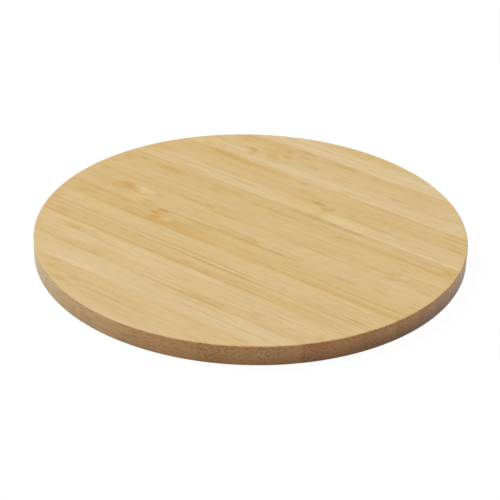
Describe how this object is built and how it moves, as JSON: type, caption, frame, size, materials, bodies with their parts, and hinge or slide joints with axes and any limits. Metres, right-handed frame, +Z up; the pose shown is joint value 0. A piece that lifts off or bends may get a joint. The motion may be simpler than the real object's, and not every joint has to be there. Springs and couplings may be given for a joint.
{
  "type": "drink coaster",
  "caption": "Flat round drink coaster of bamboo strips glued side by side, sanded smooth with eased rim edges; keeps a cup's heat and wet off the table.",
  "frame": {"origin": "middle of the flat underside, where the coaster rests on the table", "axes": "+Z up through the disc's thickness, +X along the grain of the bamboo strips, +Y across them"},
  "size_m": [0.1, 0.1, 0.0047],
  "materials": {
    "bamboo_pale": "satin",
    "bamboo_straw": "satin",
    "bamboo_tan": "satin",
    "bamboo_honey": "satin",
    "glue": "satin"
  },
  "bodies": {
    "root": {"back_strip_01": "bamboo_tan", "back_strip_02": "bamboo_pale", "back_strip_03": "bamboo_tan", "back_strip_04": "bamboo_pale", "back_strip_05": "bamboo_straw", "back_strip_06": "bamboo_straw", "back_strip_07": "bamboo_honey", "back_strip_08": "bamboo_straw", "front_strip_08": "bamboo_straw", "front_strip_07": "bamboo_honey", "front_strip_06": "bamboo_pale", "front_strip_05": "bamboo_tan", "front_strip_04": "bamboo_straw", "front_strip_03": "bamboo_pale", "front_strip_02": "bamboo_tan", "front_strip_01": "bamboo_straw", "back_glue_01": "glue", "back_glue_02": "glue", "back_glue_03": "glue", "back_glue_04": "glue", "back_glue_05": "glue", "back_glue_06": "glue", "back_glue_07": "glue", "middle_glue": "glue", "front_glue_07": "glue", "front_glue_06": "glue", "front_glue_05": "glue", "front_glue_04": "glue", "front_glue_03": "glue", "front_glue_02": "glue", "front_glue_01": "glue"}
  },
  "joints": []
}
